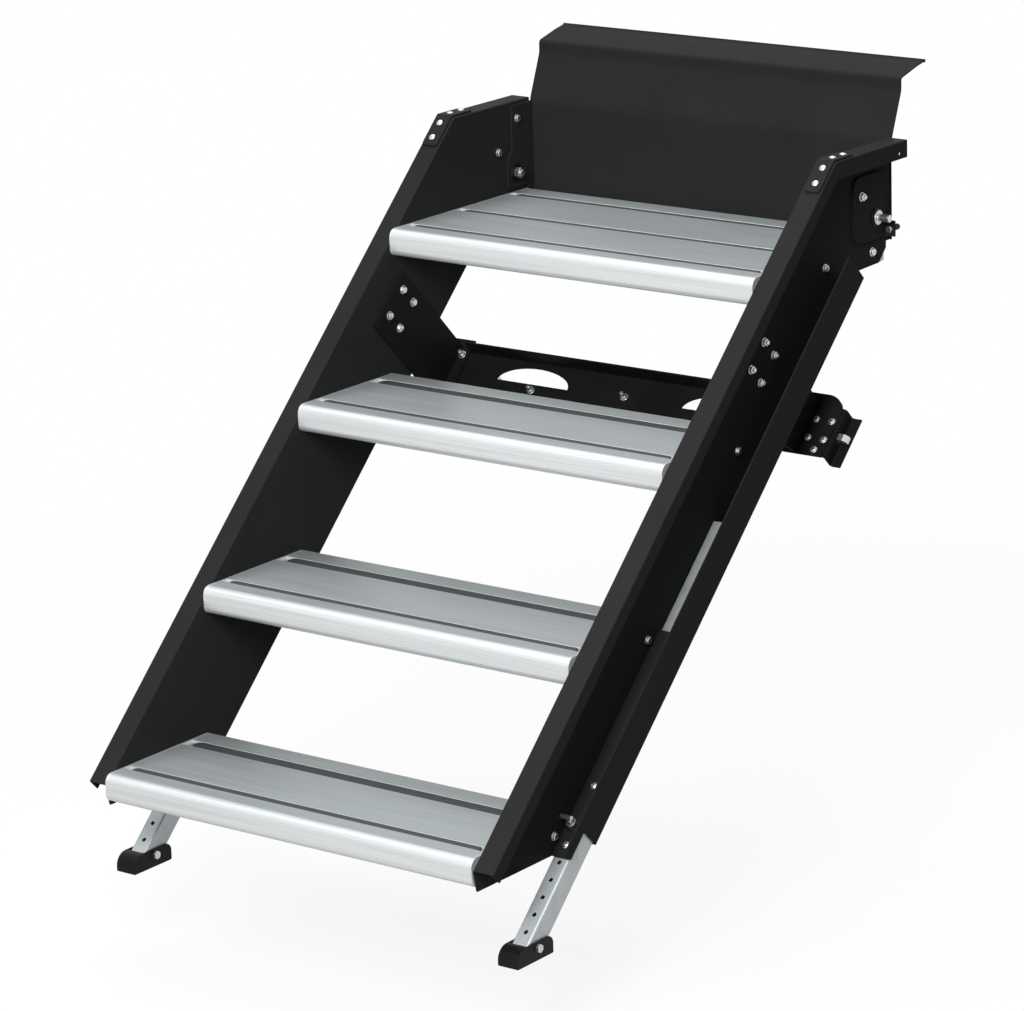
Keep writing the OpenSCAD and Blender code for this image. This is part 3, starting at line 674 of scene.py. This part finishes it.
def top_rivets(z, direction):
    return both_sides([(place(FLANGE_X, BEND_Y + step, z), direction) for step in RIVET_STEPS])


fit("corner_rivet_heads", "corner_rivets",
    (rivet, slope_rivets(FRONT_SET - PLATE_T, FORWARD)),
    (rivet, top_rivets(SIDE_UP + PLATE_T, UP)),
    (tail, slope_rivets(FRONT_SET + SHEET_T, REARWARD)),
    (tail, top_rivets(SIDE_UP - SHEET_T, DOWN)))
discard(rivet, tail)

# Screws of the leg guides, at distances up the slope from the bottom tread's nose

GUIDE_SCREWS_UP = (192.6, 105.6)
NOSE_U = (len(TREAD_NAMES) - 1) * math.hypot(RISE, RUN)
SCREW_SPOTS = [slope_place(LEG_X, NOSE_U - up, GUIDE_FRONT) for up in GUIDE_SCREWS_UP]
# The recess is cut before the join, because a cut through two overlapping shells varies from run to run
pan_dome = dome(radius=5.4, height=3.0)
cross_recess(pan_dome, length=5.6, width=1.1, low=1.6, high=4.0)
pan_head = joined([pan_dome, disc(5.5, -0.2, 0.9)], "pan_head")
fit("guide_screw_heads", "guide_screws", (pan_head, both_sides([(spot, FORWARD) for spot in SCREW_SPOTS])))
discard(pan_head)

# Studio, with the floor below the foot of a leg that is drawn out all the way and tilted

FOOT_SWING = 8.0
FLOOR_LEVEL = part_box("foot_right")[0].z - (LEG_TRAVEL * math.sin(SLOPE) + FOOT_SWING) * MM
FLOOR_GAP = 0.0005
FLOOR_SIZE = 30
FLOOR_BOUNCE = 0.3
FLOOR_PAINT = 0.9
# The floor's share of plain white, and the distances from its middle between which that share rises
FLOOR_WHITE = (0.9, 1.0)
FLOOR_FADE = (0.9, 2.0)
WHITE = (1, 1, 1, 1)
ROOM_STRENGTH = 0.12


def seen_directly(tree):
    """One for what the camera sees, itself or in metal or glass, and nought for the light on a surface."""
    path = tree.nodes.new("ShaderNodeLightPath")
    result = path.outputs["Is Camera Ray"]
    for name in ("Is Glossy Ray", "Is Transmission Ray"):
        larger = tree.nodes.new("ShaderNodeMath")
        larger.operation = "MAXIMUM"
        tree.links.new(result, larger.inputs[0])
        tree.links.new(path.outputs[name], larger.inputs[1])
        result = larger.outputs[0]
    return result


def mixed(tree, share, first, second):
    """A blend of two shaders by a share from nought to one."""
    mix = tree.nodes.new("ShaderNodeMixShader")
    tree.links.new(share, mix.inputs["Fac"])
    tree.links.new(first.outputs[0], mix.inputs[1])
    tree.links.new(second.outputs[0], mix.inputs[2])
    return mix


def studio_floor():
    """A pale floor that keeps the shadow near the step and fades to white further away."""
    deselect()
    bpy.ops.mesh.primitive_plane_add(size=FLOOR_SIZE, location=(0, 0, FLOOR_LEVEL - FLOOR_GAP))
    floor = bpy.context.object
    floor.name = "studio_floor"
    material = bpy.data.materials.new("pale_floor")
    material.use_nodes = True
    tree = material.node_tree
    tree.nodes.clear()
    bounce = add(tree, "ShaderNodeBsdfDiffuse", Color=(*grey(FLOOR_BOUNCE), 1))
    shadowed = add(tree, "ShaderNodeBsdfDiffuse", Color=(*grey(FLOOR_PAINT), 1))
    glow = add(tree, "ShaderNodeEmission", Color=WHITE, Strength=1.0)
    away = tree.nodes.new("ShaderNodeVectorMath")
    away.operation = "LENGTH"
    tree.links.new(texture_space(tree, EVEN), away.inputs[0])
    white_share = spread(tree, away.outputs["Value"], *FLOOR_WHITE, *FLOOR_FADE)
    seen = mixed(tree, white_share, shadowed, glow)
    surface = mixed(tree, seen_directly(tree), bounce, seen)
    out = tree.nodes.new("ShaderNodeOutputMaterial")
    tree.links.new(surface.outputs[0], out.inputs["Surface"])
    paint(floor, material)


def studio_world():
    """White to the camera and in reflections, a soft room to everything else."""
    world = bpy.data.worlds.new("studio")
    bpy.context.scene.world = world
    world.use_nodes = True
    tree = world.node_tree
    tree.nodes.clear()
    room = add(tree, "ShaderNodeBackground", Color=WHITE, Strength=ROOM_STRENGTH)
    white = add(tree, "ShaderNodeBackground", Color=WHITE, Strength=1.0)
    surface = mixed(tree, seen_directly(tree), room, white)
    out = tree.nodes.new("ShaderNodeOutputWorld")
    tree.links.new(surface.outputs[0], out.inputs["Surface"])


def lamp(name, spot, aim, size, power):
    light = bpy.data.lights.new(name, "AREA")
    light.shape = "DISK"
    light.size = size
    light.energy = power
    holder = bpy.data.objects.new(name, light)
    bpy.context.scene.collection.objects.link(holder)
    holder.location = spot
    holder.rotation_euler = (Vector(aim) - Vector(spot)).to_track_quat("-Z", "Y").to_euler()


studio_floor()
studio_world()
lamp("key_lamp", spot=(0.95, -2.9, 1.5), aim=(0, -0.3, -0.2), size=1.5, power=106)
lamp("top_lamp", spot=(-0.7, 0.4, 4.6), aim=(0, -0.1, 0), size=4.5, power=215)

# Camera

CAMERA_AZIMUTH = math.radians(37.281)
CAMERA_ELEVATION = math.radians(15.703)
CAMERA_ROLL = math.radians(-1.628)
CAMERA_DISTANCE = 6.4597
CAMERA_TARGET = place(-102.2, 0, -366.8)
CAMERA_LENS = 165.0
CAMERA_SENSOR = 36
CAMERA_REACH = 100


def photo_camera():
    data = bpy.data.cameras.new("photo_camera")
    data.lens = CAMERA_LENS
    data.sensor_width = CAMERA_SENSOR
    data.clip_end = CAMERA_REACH
    camera = bpy.data.objects.new("photo_camera", data)
    bpy.context.scene.collection.objects.link(camera)
    flat = math.cos(CAMERA_ELEVATION)
    back = Vector((math.sin(CAMERA_AZIMUTH) * flat, -math.cos(CAMERA_AZIMUTH) * flat,
                   math.sin(CAMERA_ELEVATION)))
    right = (-back).cross(Vector(UP)).normalized()
    up = right.cross(-back)
    c, s = math.cos(CAMERA_ROLL), math.sin(CAMERA_ROLL)
    axes = Matrix((c * right + s * up, -s * right + c * up, back)).transposed()
    camera.matrix_world = Matrix.Translation(CAMERA_TARGET + back * CAMERA_DISTANCE) @ axes.to_4x4()
    bpy.context.scene.camera = camera


photo_camera()
bpy.context.scene.view_settings.view_transform = "Standard"
